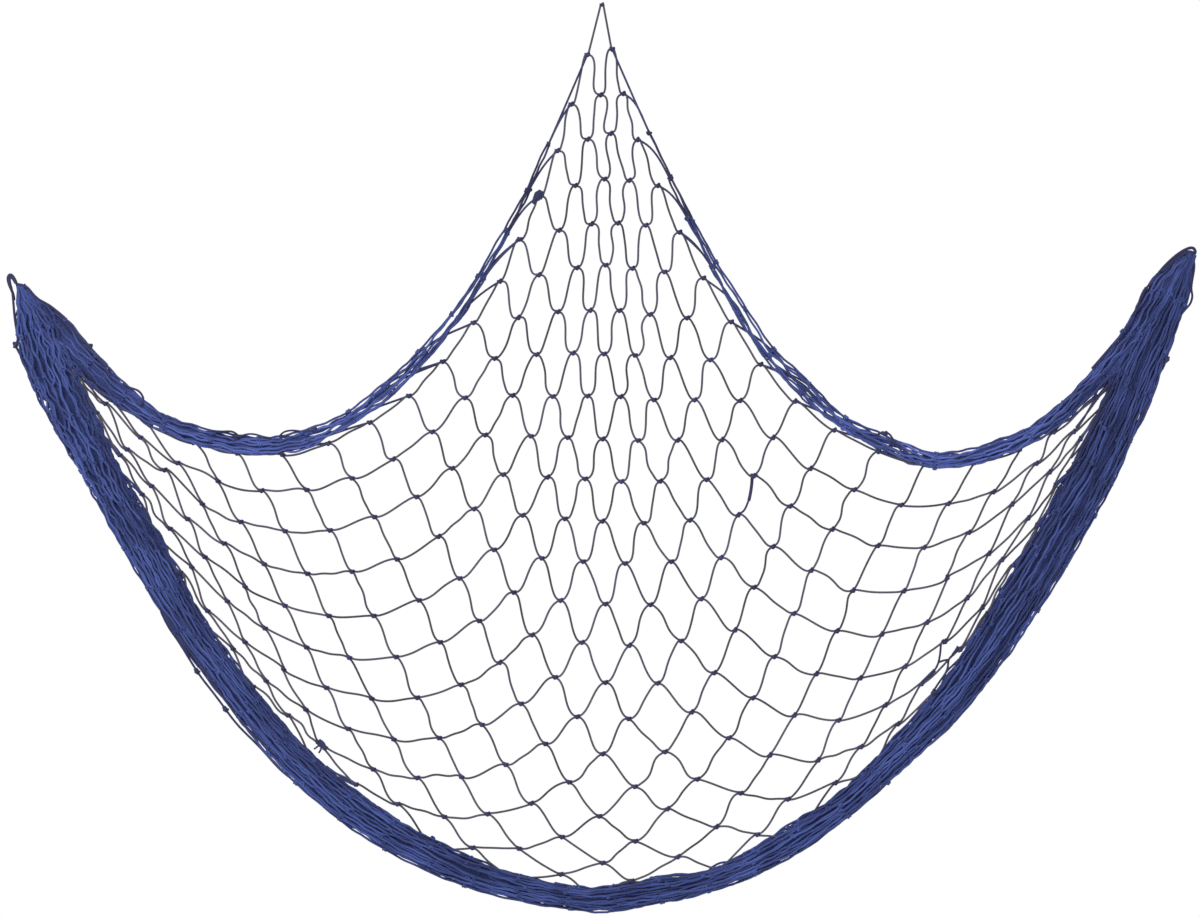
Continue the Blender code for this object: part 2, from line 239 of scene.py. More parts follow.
def ease(value, low, high):
    """0 below low, 1 above high, and a smooth rise between them."""
    share = min(1.0, max(0.0, (value - low) / (high - low)))
    return share * share * (3.0 - 2.0 * share)


def norm(vector):
    return np.linalg.norm(vector)


def unit(vector):
    return vector / max(1e-9, norm(vector))


def tilted(angle):
    """Sideways and upward in the plane of the net, turned by an angle."""
    run, rise = math.cos(angle), math.sin(angle)
    return np.array((run, 0.0, rise)), np.array((-rise, 0.0, run))


def arc(start, start_pull, end, end_pull, steps):
    """Points of a bend that leaves along start_pull and comes in along end_pull."""
    share = np.linspace(0.0, 1.0, steps + 1)[:, None]
    rest = 1.0 - share
    return (rest ** 3 * start + 3.0 * rest ** 2 * share * (start + start_pull)
            + 3.0 * rest * share ** 2 * (end - end_pull) + share ** 3 * end)


def wander(line, side, amount, turns, chance):
    """Bend a line to and fro towards one side, least at its ends."""
    share = np.linspace(0.0, 1.0, len(line))
    swing = np.sin(TURN * turns * share + chance.uniform(0.0, 6.28))
    return line + np.outer(swing * np.sin(math.pi * share), side) * amount


def flow(points, steps):
    """A smooth line through a few points, steps pieces between each two."""
    rows = np.array(points, float)
    places = np.arange(len(rows), dtype=float)
    bends = spline_bends(places, rows)
    stations = np.linspace(0.0, places[-1], (len(rows) - 1) * steps + 1)
    return np.array([spline_at(places, rows, bends, place) for place in stations])


# ---- twine as a mesh

def put(name, data):
    """A new object of the scene."""
    made = bpy.data.objects.new(name, data)
    bpy.context.scene.collection.objects.link(made)
    return made


class Skein:
    """Lines of twine that become one piece."""

    def __init__(self, name, sides):
        self.name = name
        self.sides = sides
        angles = TURN * np.arange(sides) / sides
        self.turns = np.stack((np.cos(angles), np.sin(angles)), 1)
        self.points = []
        self.faces = []
        self.wraps = []
        self.shades = []
        self.count = 0

    def lay(self, line, radius, shade):
        """Add a round twine along a line."""
        slopes = np.gradient(line, axis=0)
        slopes /= np.maximum(np.linalg.norm(slopes, axis=1), 1e-12)[:, None]
        side = np.cross(slopes[0], INWARD)
        if norm(side) < 0.1:
            side = np.cross(slopes[0], (0.0, 0.0, 1.0))
        rings = []
        for point, slope in zip(line, slopes):
            side = unit(side - slope * (side @ slope))
            over = np.cross(slope, side)
            turn = self.turns[:, :1] * side + self.turns[:, 1:] * over
            rings.append(point + turn * radius)
        lengths = np.concatenate(([0.0], np.cumsum(np.linalg.norm(np.diff(line, axis=0), axis=1))))
        self.skin(rings, lengths, shade)

    def skin(self, rings, lengths, shade):
        """Join rings of points, which lie at these lengths along the twine."""
        first = np.arange(self.sides)
        after = (first + 1) % self.sides
        low = self.count + self.sides * np.arange(len(rings) - 1)[:, None]
        high = low + self.sides
        faces = np.stack((low + first, low + after, high + after, high + first), 2)
        self.faces.append(faces.reshape(-1, 4))
        start, end = lengths[:-1, None], lengths[1:, None]
        corners = ((first, start), (first + 1, start), (first + 1, end), (first, end))
        wraps = [np.stack(np.broadcast_arrays(around / self.sides, length), 2)
                 for around, length in corners]
        self.wraps.append(np.stack(wraps, 2).reshape(-1, 2))
        self.points.append(np.concatenate(rings))
        self.shades.append(np.full(len(rings) * self.sides, shade))
        self.count += len(rings) * self.sides

    def finish(self, material):
        """The piece itself, which hangs with the net."""
        mesh = bpy.data.meshes.new(self.name)
        points = np.concatenate(self.points)
        mesh.from_pydata(points.tolist(), [], np.concatenate(self.faces).tolist())
        wrap = mesh.uv_layers.new(name="twist")
        wrap.data.foreach_set("uv", np.concatenate(self.wraps).astype(np.float32).ravel())
        tone = mesh.attributes.new("tone", "FLOAT", "POINT")
        tone.data.foreach_set("value", np.concatenate(self.shades).astype(np.float32))
        mesh.shade_smooth()
        mesh.materials.append(material)
        piece = put(self.name, mesh)
        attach(piece, "root")
        return piece


def tie(skein, place, sideways, upward, thread, shade, squeeze=(1.0, 1.0), steps=KNOT_STEPS):
    """Add a netting knot. squeeze is its width and height, as shares of a loose one's."""
    sideways = unit(sideways)
    upward = unit(upward - sideways * (upward @ sideways))
    inward = np.cross(upward, sideways)
    axes = np.array((sideways * squeeze[0], inward, upward * squeeze[1])) * thread
    for path in (BIGHT, WRAP):
        skein.lay(place + flow(path, steps) @ axes, thread, shade)


# ---- the open net

def last_row(left):
    """The mesh row that lies on the band. One more row hangs free at the far left."""
    return ROWS_OPEN + 1 if left > FREE_ROW_FROM else ROWS_OPEN


def hanging_knots():
    """Place of each knot of the open net, keyed by its bars left and right of the peak."""
    left_steps = np.array(FORM_LEFT, float)
    right_steps = np.array(FORM_RIGHT, float)
    form = np.array(FORM, float) * MM
    down_left = spline_bends(left_steps, form)
    knots = {}
    for left in range(BARS_LEFT + 1):
        line = spline_at(left_steps, form, down_left, left)
        down_right = spline_bends(right_steps, line)
        for right in range(BARS_RIGHT + 1):
            if left + right > last_row(left):
                continue
            x, z = spline_at(right_steps, line, down_right, right)
            swell = math.sin(math.pi * left / BARS_LEFT) * math.sin(math.pi * right / BARS_RIGHT)
            fade = 1.0 - ((left + right) / (ROWS_OPEN + 1)) ** 3
            sideways, up = drawn(left, right)
            knots[left, right] = np.array((x + sideways, -BILLOW * swell * fade * 2.0, z + up))
    return knots


def drawn(left, right):
    """How far a knot is drawn off the even form."""
    moved = np.array(SHIFTS.get((left, right), (0, 0)), float)
    for middle_left, middle_right, reach_left, reach_right, sideways, up in PULLS:
        away = ((left - middle_left) / reach_left) ** 2
        away += ((right - middle_right) / reach_right) ** 2
        moved += np.array((sideways, up)) * math.exp(-away)
    return moved * MM


def in_band(key):
    left, right = key
    return left == BARS_LEFT or right == BARS_RIGHT or left + right == last_row(left)


def lay_on_band(places, band):
    """Put the lowest knots of the open net on the inner edge of the band, or inside it."""
    least, usual = ON_BAND
    front, behind = ON_BAND_DEPTH
    for key, place in places.items():
        if not in_band(key):
            continue
        here = band.look(band.nearest(place))
        inside = max(here.half_width * least, (here.middle - place) @ here.outward)
        places[key] = here.middle - here.outward * inside
        places[key][1] = front if inside > here.half_width * usual else behind


class OpenKnot:
    """A knot of the open net, with the way its twine runs through it."""

    def __init__(self, key, places, chance):
        left, right = key
        self.key = key
        self.place = places[key] + chance.normal(0.0, KNOT_STRAY, 3) * (1.0, 0.5, 1.0)
        down_left = self.line(places, (left - 1, right), (left + 1, right))
        down_right = self.line(places, (left, right - 1), (left, right + 1))
        level = unit(down_right - down_left)
        tilt = KNOT_TILT * math.atan2(level[2], level[0]) + chance.normal(0.0, KNOT_SPREAD)
        self.sideways, self.upward = tilted(tilt)
        self.runs = {False: down_left, True: down_right}

    def line(self, places, above, below):
        """Direction of the line of twine that passes this knot."""
        return unit(places.get(below, places[self.key]) - places.get(above, places[self.key]))

    def door(self, sideways, upward):
        """Where a bar enters: -1 or 1 sideways, -1 or 1 upwards."""
        across = self.sideways * sideways * KNOT_HALF
        return self.place + (across + self.upward * upward * KNOT_RISE) * THREAD

    def pull(self, to_right, lean):
        """Direction of a bar at the knot: its line's, turned sideways by lean."""
        hand = 1.0 if to_right else -1.0
        return unit(self.runs[to_right] * (1.0 - lean) + self.sideways * hand * lean)


def open_bar(upper, lower, to_right, chance):
    """A bar of the open net from one knot down to the next. Its spare twine goes into its bends."""
    hand = 1.0 if to_right else -1.0
    start = upper.door(hand, -1.0)
    end = lower.door(-hand, 1.0)
    chord = end - start
    reach = norm(chord)
    whole = norm(lower.place - upper.place)
    slack = min(1.0, max(0.0, (TAUT - whole) / (TAUT - SLACK)))
    lean = LEAN[0] + LEAN[1] * slack
    if upper.key[0 if to_right else 1] == 0:
        lean *= EDGE_LEAN
    reach *= PULL[0] + PULL[1] * slack
    sag = np.array((0.0, 0.0, -SAG)) * ease(abs(chord[0]) / whole, 0.6, 1.0)
    line = arc(start, upper.pull(to_right, lean) * reach + sag,
               end, lower.pull(to_right, lean) * reach - sag, OPEN_STEPS)
    side = np.cross(unit(chord), INWARD)
    line = wander(line, side, chance.normal(0.0, KINK), chance.uniform(0.7, 1.8), chance)
    return wander(line, INWARD, KINK, chance.uniform(0.5, 1.5), chance)


def peak_bar(peak, lower, to_right):
    """A straight bar from the knot at the peak."""
    start = peak.door(0.5 if to_right else -0.5, 0.0)
    end = lower.door(-0.4 if to_right else 0.4, 1.0)
    third = (end - start) * 0.3
    return arc(start, third, end, third, OPEN_STEPS)


def build_open_net(places, chance):
    """Bars and knots of the open meshes."""
    knots = {key: OpenKnot(key, places, chance) for key in sorted(places)}
    bars = Skein("open_meshes", OPEN_SIDES)
    ties = Skein("open_knots", GATHERED_SIDES)
    for key, knot in knots.items():
        left, right = key
        for other, to_right in (((left + 1, right), False), ((left, right + 1), True)):
            if other not in knots or (key, other) in MENDED_BARS:
                continue
            span = norm(knots[other].place - knot.place)
            if in_band(key) and in_band(other) and span > LONGEST_BAR:
                continue
            if left + right == 0:
                line = peak_bar(knot, knots[other], to_right)
            else:
                line = open_bar(knot, knots[other], to_right, chance)
            bars.lay(line, THREAD, chance.uniform(0.2, 0.8))
        if key == REPAIR_AT:
            continue
        size = PEAK_KNOT if left + right == 0 else 1.0
        tie(ties, knot.place, knot.sideways, knot.upward, THREAD * size, chance.uniform(0.1, 0.6))
    return knots, bars, ties


# ---- the gathered parts

Section = namedtuple("Section", "middle along outward half_width half_depth")


class Bundle:
    """The smooth middle line of a gathered part, with its width and depth."""

    def __init__(self, table, outward):
        rows = np.array(table, float) * MM
        ends = np.concatenate(([0.0], np.cumsum(np.hypot(*np.diff(rows[:, :2], axis=0).T))))
        bends = spline_bends(ends, rows)
        self.outward = outward
        self.length = ends[-1]
        self.places = np.linspace(0.0, self.length, 1400)
        self.rows = np.array([spline_at(ends, rows, bends, place) for place in self.places])
        self.slopes = np.gradient(self.rows[:, :2], self.places, axis=0)

    def look(self, place):
        """The section at a distance along."""
        x, z, width, depth = (np.interp(place, self.places, column) for column in self.rows.T)
        run, rise = (np.interp(place, self.places, column) for column in self.slopes.T)
        along = unit(np.array((run, 0.0, rise)))
        outward = np.array((along[2], 0.0, -along[0])) * self.outward
        return Section(np.array((x, 0.0, z)), along, outward, width / 2.0, depth / 2.0)

    def out(self, place, point):
        """How far out a point lies: 1 at the outer edge of the section, -1 at the inner one."""
        here = self.look(place)
        return (point - here.middle) @ here.outward / here.half_width

    def nearest(self, point):
        """Distance along at which the middle line comes nearest to a point."""
        gaps = np.hypot(self.rows[:, 0] - point[0], self.rows[:, 1] - point[2])
        return self.places[np.argmin(gaps)]

    def spot(self, place, out, inward):
        """A point in the section, with out and inward as shares of its half width and depth."""
        here = self.look(place)
        least = GATHERED_THREAD * 0.6
        half_width = max(here.half_width - GATHERED_THREAD, least)
        half_depth = max(here.half_depth - GATHERED_THREAD, least)
        return here.middle + here.outward * half_width * out + INWARD * half_depth * inward


def fold(share, folds):
    """Where a line of twine lies in the section, from its share of the way through the net.

    The net is folded back and forth: from its outer edge to the inner one in front, back
    through the middle, and to the inner edge again behind.
    """
    swing = folds * share
    turned = abs((swing % 2.0) - 1.0) * 2.0 - 1.0
    across = 0.4 * math.cos(math.pi * swing) + 0.6 * turned
    layer = ease(swing, 0.8, 1.2) + ease(swing, 1.8, 2.2) - 1.0
    layer += (1.0 - ease(folds, 1.0, 2.2)) * 0.7
    crown = math.sqrt(max(0.0, 1.0 - 0.8 * across * across))
    return across, 0.80 * layer * crown


class Gathering:
    """The narrow meshes of a gathered part.

    habit holds how they lie, in numbers or by the row and the number of rows: strands and folds,
    how many there are; slip, how far knots stray along; wave, how bars wander; stray, how lines
    wander through the section; lead, how far ahead the first rows are; spread, how far the lines
    reach in from the outer edge; core, the share of the width they fill; clear, how far out the
    outermost line lies; pale, how pale the twine is; shady, how far painted shade darkens its inner
    side; furrow, by the share of the length, a groove along the part, with painted shade in it.
    """

    def __init__(self, bundle, rows, habit, chance):
        self.bundle = bundle
        self.rows = rows
        self.step = (bundle.length - 2.0 * TRIM) / rows
        self.habit = habit
        self.chance = chance
        self.phase = chance.uniform(0.0, 6.28, 8)
        self.stops = {}
        self.ties = []
        for row in range(rows + 1):
            self.tie_row(row)

    def at(self, name, row):
        """A habit that changes from row to row."""
        return self.habit[name](row, self.rows)

    def share(self, strand, row):
        """Share of the way through the folded net at which a line lies; above 1 it is not there."""
        strands = self.at("strands", row)
        return (strand + 0.5) / strands if strands > 0.0 else 2.0

    def lives(self, strand, row):
        return self.share(strand, row) <= 1.0

    def drift(self, order, row):
        """A slow wander of the lines: sideways, inward and along."""
        starts = iter(self.phase)
        return [DRIFT_SIZE * sum(math.sin(by_line * order + by_row * row + next(starts))
                                 for by_line, by_row in waves) for waves in DRIFT]

    def groove(self, along, out):
        """How deep the furrow along the part is at this place, 0 to 1. By as much, painted shade
        darkens the twine there.
        """
        middle, strength = self.habit["furrow"](along / self.bundle.length)
        return strength * math.exp(-((out - middle) / FURROW_WIDTH) ** 2)

    def stand(self, order, row):
        """Distance along and place of a knot between two lines, or of a free line."""
        habit = self.habit
        sideways, inward, onward = self.drift(order, row)
        ends = min(1.0, row / 2.0, (self.rows - row) / 2.0)
        along = TRIM + row * self.step - habit["lead"] * (1.0 - ease(row, 3, 12))
        along += (onward + self.chance.normal(0.0, CHANCE_ALONG)) * habit["slip"] * ends
        along = min(self.bundle.length - TRIM, max(TRIM, along))
        out, depth = fold(self.share(order, row), self.at("folds", row))
        out += (sideways + self.chance.normal(0.0, CHANCE_ACROSS)) * habit["stray"]
        out = 1.0 - (1.0 - out) * self.at("spread", row)
        depth += (inward + self.chance.normal(0.0, CHANCE_ACROSS)) * habit["stray"] * DEEPER
        reach = math.hypot(out, depth)
        if reach > 1.0:
            out /= reach
            depth /= reach
        if depth < 0.0:
            depth *= 1.0 - FURROW_DEPTH * self.groove(along, out)
        return along, self.bundle.spot(along, out * habit["core"], depth)

    def edge(self, row):
        """The outermost line of twine where its own knot stands clear of the rest."""
        along, _ = self.stand(0.0, row)
        out = self.chance.uniform(0.87, 0.98) * self.at("clear", row)
        return along, self.bundle.spot(along, out, self.chance.normal(-0.2, 0.25))

    def tie_row(self, row):
        """Place the knots of one row, and each line of twine where it passes the row."""
        strand = 0
        if row % 2 == 0 and self.lives(0, row):
            along, place = self.edge(row)
            self.stops[0, row] = (along, place, None)
            self.ties.append((along, place, self.bundle.look(along).outward))
            strand = 1
        while self.lives(strand, row):
            if self.lives(strand + 1, row):
                along, place = self.stand(strand + 0.5, row) if strand else self.edge(row)
                outward = self.bundle.look(along).outward
                lean = self.chance.normal(0.0, 0.7)
                apart = outward * math.cos(lean) + INWARD * math.sin(lean)
                self.stops[strand, row] = (along, place, apart)
                self.stops[strand + 1, row] = (along, place, -apart)
                self.ties.append((along, place, apart))
                strand += 2
            else:
                self.stops[strand, row] = self.stand(strand, row) + (None,)
                strand += 1

    def tone(self, strand, row):
        """How pale a bar is: in patches a few lines wide, with painted shade that darkens it in the
        furrow, on the inner side and along the outermost line.
        """
        along, place, _ = self.stops[strand, row]
        tone = TONE + self.chance.normal(0.0, TONE_CHANCE)
        for (size, by_line, by_row), start in zip(TONE_WAVES, self.phase[6:]):
            tone += size * math.sin(by_line * strand + by_row * row + start)
        out = self.bundle.out(along, place)
        # Painted shade in the furrow.
        tone *= 1.0 - self.groove(along, out)
        # Painted shade on the inner side.
        tone *= 1.0 - self.at("painted_inner_shade", row) * ease(-out, 0.2, 0.8)
        # Painted shade: the outermost line is darker.
        if strand == 0:
            tone *= PAINTED_EDGE_SHADE
        tone *= self.at("pale", row)
        return min(1.0, max(0.0, tone))

    def bar(self, strand, row):
        """A bar along one line, from one row to the next."""
        ends = []
        for at in (row, row + 1):
            along, place, apart = self.stops[strand, at]
            here = self.bundle.look(along)
            direction = here.along
            if apart is not None:
                place = place + apart * GATHERED_THREAD
                direction = unit(direction + apart * (0.12 if at == row else -0.12))
            ends.append((place, direction, here.outward))
        (start, leave, side), (end, come, _) = ends
        reach = norm(end - start)
        wave = self.at("wave", row) * (0.6 if strand == 0 else 1.0)
        sways = [side * self.chance.normal(0.0, wave) for _ in range(2)]
        for sway in sways:
            sway[1] = self.chance.normal(0.0, wave * 0.5)
        line = arc(start, leave * reach * 0.3 + sways[0], end, come * reach * 0.3 + sways[1],
                   GATHERED_STEPS)
        return wander(line, side, wave * 0.55, self.chance.uniform(1.6, 2.6), self.chance)

    def lay(self, skein_at):
        """Add all bars and knots. skein_at gives the two skeins for a row's bars and knots."""
        for strand, row in sorted(self.stops):
            if (strand, row + 1) in self.stops:
                bars = skein_at(row / self.rows)[0]
                thread = THREAD + (GATHERED_THREAD - THREAD) * self.at("pale", row)
                bars.lay(self.bar(strand, row), thread, self.tone(strand, row))
        for along, place, apart in self.ties:
            if KNOT_TRIM < along < self.bundle.length - KNOT_TRIM:
                # Painted shade: knots in the furrow are darker too.
                dark = self.groove(along, self.bundle.out(along, place))
                pale = self.at("pale", (along - TRIM) / self.step)
                shade = self.chance.uniform(0.2, 0.7) * (1.0 - dark) * pale
                tie(skein_at(along / self.bundle.length)[1], place, apart,
                    self.bundle.look(along).along, KNOT_THREAD, shade, GATHERED_KNOT, 2)


def lay_shaded_core(skein, bundle, start):
    """The inmost lines of a gathered part, pressed together to one body in the deep colour: painted
    shade between the lines.
    """
    end = bundle.length - CORE_TRIM
    stations = np.linspace(start, end, int((end - start) / CORE_STEP) + 2)
    rings = []
    for along in stations:
        grown = ease(min(along - start, end - along), 0.0, CORE_TAPER)
        size = CORE * (CORE_END + (1.0 - CORE_END) * grown)
        rings.append(np.array([bundle.spot(along, size * out, CORE_DEPTH * size * inward)
                               for out, inward in skein.turns]))
    # Tone 0 gives the core the deepest colour, painted shade.
    skein.skin(rings, stations - start, 0.0)


def swag_strands(row, rows):
    """Lines of twine across a swag: one more at each row, and more as its folds grow thick."""
    return (row - 0.9) * (1.0 + 0.45 * ease(row, 3, 12)) if row > 2 else 0.0


def band_strands(row, rows):
    """Lines of twine across the band: more towards both ends, where the open meshes join."""
    share = abs(2.0 * row / rows - 1.0)
    return BAND_MIDDLE_STRANDS + (BAND_END_STRANDS - BAND_MIDDLE_STRANDS) * share


def band_furrow(share):
    places, middles, strengths = np.array(BAND_FURROW).T
    return np.interp(share, places, middles), np.interp(share, places, strengths)


SWAG_HABIT = {
    "strands": swag_strands,
    "folds": lambda row, rows: 1.0 + 2.0 * ease(row, 4, 12),
    "slip": 0.004,
    "wave": lambda row, rows: 0.0007 + 0.0014 * ease(row, 4, 12),
    "stray": 0.17,
    "spread": lambda row, rows: 0.45 + 0.55 * ease(row, 2, 7),
    "pale": lambda row, rows: ease(row, 4, 12) * (1.0 - 0.6 * ease(row, rows - 7, rows - 3)),
    # painted shade on the inner side, towards the corner
    "painted_inner_shade": lambda row, rows: 0.95 * ease(row, rows - 6, rows - 3),
    "core": 0.96,
    "clear": lambda row, rows: 1.0 + 0.18 * ease(row, 6, 9) * (1.0 - ease(row, 10, 14)),
    "furrow": lambda share: (0.0, 0.0),
}
BAND_HABIT = {
    "strands": band_strands,
    "folds": lambda row, rows: 3.0,
    "slip": 0.012,
    "wave": lambda row, rows: 0.0012 + 0.0016 * (1.0 - ease(row, 3, 8)),
    "stray": 0.12,
    "lead": 0.0,
    "spread": lambda row, rows: 1.0,
    "pale": lambda row, rows: 1.0 - 0.25 * ease(row, rows - 9, rows - 2),
    # painted shade on the inner side
    "painted_inner_shade": lambda row, rows: 0.6,
    "core": 0.94,
    "clear": lambda row, rows: 1.0,
    "furrow": band_furrow,
}


def build_swag(name, bundle, knots, to_left, chance):
    """One swag: its narrow meshes, and the bars that join it to the edge of the open net."""
    rows = round(bundle.length / SWAG_BAR)
    habit = dict(SWAG_HABIT, lead=SWAG_LEADS[to_left])
    gathering = Gathering(bundle, rows, habit, chance)
    body = Skein(name, GATHERED_SIDES)
    start = Skein(name + "_start", GATHERED_SIDES)
    gathering.lay(lambda share: (start,) * 2 if share * rows < SWAG_START_ROWS else (body,) * 2)
    lay_shaded_core(body, bundle, bundle.length * SWAG_CORE_FROM)
    tops = {}
    for strand, row in sorted(gathering.stops):
        tops.setdefault(strand, row)
    for strand, row in tops.items():
        above = 1 if strand == 0 else row - 1
        key = (above, 0) if to_left else (0, above)
        if key in knots and not in_band(key):
            along, place, _ = gathering.stops[strand, row]
            start.lay(link_to_swag(knots[key], bundle.look(along), place, strand, above, chance),
                      THREAD, chance.uniform(0.1, 0.6))
    return body, start


def link_to_swag(knot, here, place, strand, above, chance):
    """A bar from a knot at the edge of the open net to a place in the swag."""
    start = knot.place + INWARD * chance.normal(0.0, 0.001)
    reach = norm(place - start)
    straight = unit(place - start)
    turn = chance.uniform(0.2, 0.9) * (1.0 - 0.9 * ease(above, 3, 7)) if strand else 0.0
    leave = unit(straight + here.outward * turn) * reach * 0.35
    come = unit(here.along + straight * 0.3) * reach * 0.35
    return arc(start, leave, place, come, GATHERED_STEPS)


def build_band(bundle, knots, chance):
    """The band along the bottom in two halves, each with its bars and its knots."""
    gathering = Gathering(bundle, round(bundle.length / BAR), BAND_HABIT, chance)
    halves = [(Skein(side + "_band_twine", GATHERED_SIDES),
               Skein(side + "_band_knots", BAND_KNOT_SIDES)) for side in ("left", "right")]
    gathering.lay(lambda share: halves[0] if share < 0.5 else halves[1])
    for key in sorted(knots):
        if in_band(key):
            link_to_band(halves, bundle, knots[key], chance)
    core = Skein("band_shaded_core", CORE_SIDES)
    lay_shaded_core(core, bundle, CORE_TRIM)
    return [skein for half in halves for skein in half] + [core]


def link_to_band(halves, bundle, knot, chance):
    """Two bars from a knot at the inner edge of the band into the band."""
    along = bundle.nearest(knot.place)
    half, onward = (0, -1.0) if along < bundle.length / 2.0 else (1, 1.0)
    for hand, share in ((-1.0, 0.8), (1.0, 1.0)):
        ahead = along + onward * BAR * chance.uniform(0.75, 0.95) * share
        if not TRIM < ahead < bundle.length - TRIM:
            continue
        direction = bundle.look(ahead).along * onward
        place = bundle.spot(ahead, chance.uniform(-0.95, -0.6), chance.uniform(-0.6, 0.3))
        start = knot.door(hand, -1.0)
        reach = norm(place - start) * 0.3
        leave = unit(direction + knot.sideways * hand * 0.2)
        line = arc(start, leave * reach, place, direction * reach, GATHERED_STEPS)
        halves[half][0].lay(line, THREAD, chance.uniform(0.0, 0.4))


# ---- loose and mended twine

# Twine that is laid one by one: radius in mm, how pale it is, depth in mm, then x and z in mm.
LOOSE = {
    "left eye": (1.5, 0.0, 0, (
        (-615, -297), (-618, -289), (-622, -284), (-625, -286), (-625, -291), (-623, -297),
        (-620, -304), (-619, -311))),
    "left eye, inner turn": (1.5, 0.0, -2, (
        (-617, -293), (-620, -288), (-623, -287), (-623, -292), (-621, -300))),
    "left shoulder": (1.4, 0.05, -3, (
        (-616, -294), (-610, -295), (-604, -298), (-598, -305), (-591, -311), (-582, -316),
        (-573, -323), (-562, -334), (-549, -350), (-539, -359))),
    "left outer edge": (1.3, 0.1, -3, (
        (-620, -303), (-619, -314), (-618, -326), (-616, -340), (-614, -350), (-616, -358),
        (-613, -366), (-605, -382))),
    "right tip": (1.6, 0.0, -2, (
        (577, -296), (586, -282), (597, -270), (608, -261), (618, -256), (623, -257),
        (624, -261), (620, -263))),
    "right tip, second turn": (1.5, 0.0, -3, (
        (589, -281), (600, -271), (609, -264), (616, -260), (622, -261))),
    "right corner, dark edge": (1.3, 0.0, -4, (
        (577, -294), (568, -304), (563, -318), (557, -328), (551, -340), (541, -353),
        (529, -367), (515, -383))),
    "right end, loose": (1.2, 0.1, -2, (
        (619, -264), (623, -272), (622, -284), (620, -298), (621, -306), (619, -314), (615, -319),
        (610, -325))),
    "left swag, end": (1.1, 0.3, -5, (
        (-545, -358), (-539, -363), (-533, -369), (-527, -375), (-521, -383), (-518, -390))),
    "left swag, hanging loop": (1.2, 0.1, -4, (
        (-504, -398), (-496, -403), (-488, -406), (-483, -412), (-483, -418), (-489, -423))),
    "left swag, round loop": (1.1, 0.2, -4, (
        (-411, -448), (-399, -449), (-390, -449), (-384, -452), (-383, -456), (-389, -460))),
    "left swag, thin loop": (1.0, 0.3, -3, (
        (-384, -456), (-374, -452), (-365, -452), (-358, -454), (-348, -456))),
    "left swag, long loop": (1.0, 0.2, -3, (
        (-339, -454), (-333, -449), (-323, -448), (-314, -449), (-304, -447))),
    "right swag, loop": (1.1, 0.1, -4, (
        (288, -453), (298, -450), (304, -454), (308, -461), (315, -469))),
    "left band, loose edge": (1.2, 0.2, -3, (
        (-464, -638), (-455, -656), (-444, -672), (-426, -701), (-411, -721), (-396, -741),
        (-381, -760), (-360, -781), (-342, -801), (-328, -813))),
    "left band, second loose edge": (1.1, 0.3, -5, (
        (-464, -632), (-448, -658), (-434, -679), (-418, -700), (-405, -719), (-391, -738),
        (-374, -759), (-353, -780), (-340, -792))),
    "right band, loose edge": (1.1, 0.2, -3, (
        (579, -405), (573, -421), (564, -438), (556, -454), (545, -474), (540, -484))),
}
SPARE = {
    "right band, inner edge": (1.1, 0.3, -5, (
        (534, -398), (522, -413), (514, -424), (505, -436), (498, -445))),
    "right band, second inner edge": (1.1, 0.2, -5, (
        (538, -402), (526, -421), (519, -436), (510, -453), (503, -465), (493, -477))),
    "right band, third inner edge": (1.1, 0.3, -5, (
        (530, -421), (516, -445), (506, -463), (499, -479), (488, -492))),
    "tail": (1.7, 0.1, -1, ((158, -494), (157.5, -505), (156, -515), (154.5, -522))),
    "tail, knotted end": (1.7, 0.0, -2, ((156, -495), (160, -495), (164, -496))),
    "tail, bar": (1.12, 0.4, 0, (
        (158, -496), (157.5, -505), (156, -516), (153, -525), (149.5, -532), (145, -535))),
    "tuft": (2.5, 0.0, -2, ((-300, -775), (-295, -779), (-289, -783))),
    "tuft, fold": (2.2, 0.2, -3, ((-298, -774), (-293, -778), (-292, -784))),
    "tuft, first cut end": (0.9, 0.2, -3, ((-297, -778), (-300, -781), (-303, -783))),
    "tuft, second cut end": (1.0, 0.2, -3, ((-295, -780), (-296, -784), (-298, -787))),
    "tangle, long bar": (1.12, 0.3, -1, (
        (360, -668), (357, -672), (356, -681), (354, -692), (350, -700), (344, -707), (336, -715))),
    "tangle, lump": (1.9, 0.1, -2, ((350, -700), (344, -706), (338, -712), (336, -715))),
    "tangle, cross bar": (1.12, 0.2, -2, ((354, -692), (359, -690), (365, -689))),
    "tangle, second lump": (1.7, 0.0, -2, ((375, -675), (372, -680), (369, -684))),
    "tangle, second bar": (1.12, 0.2, -1, (
        (375, -675), (369, -684), (365, -689), (364, -696), (361, -704), (354, -714), (348, -724))),
    "tangle, third bar": (1.12, 0.2, -2, ((378, -686), (370, -694), (363, -701), (359, -708))),
}
# Knots on that twine, and a few beside the band: x and z in mm and tilt in degrees.
LOOSE_KNOTS = (
    (-617, -358, 80), (-539, -359, -20), (-426, -701, -55), (-396, -741, -50), (-418, -700, -20),
    (588, -376, 70), (297, -451, -10), (-303, -447, 0), (-384, -455, -40), (349, -723, 50),
    (594, -373, 65),
)
LOOSE_KNOT_DEPTH = -3.0

# The mend at the top left edge, where twine is wound round the knot in a lump, in mm.
MEND_MIDDLE = (-67.0, -1.0, -201.0)
MEND_ALONG = (-0.62, 0.0, -0.78)
MEND_ACROSS = (0.78, 0.0, -0.62)
MEND_TURNS = 5.5
MEND_POINTS = 64
MEND_LENGTH = 12.0
MEND_RADIUS = (1.6, 2.4)    # at its ends, and the rest in the middle


def lay_loose(skein, table):
    """Twine laid through the places of a table."""
    for radius, tone, depth, places in table.values():
        points = [(x, depth, z) for x, z in places]
        skein.lay(flow(points, LOOSE_STEPS) * MM, radius * MM, tone)


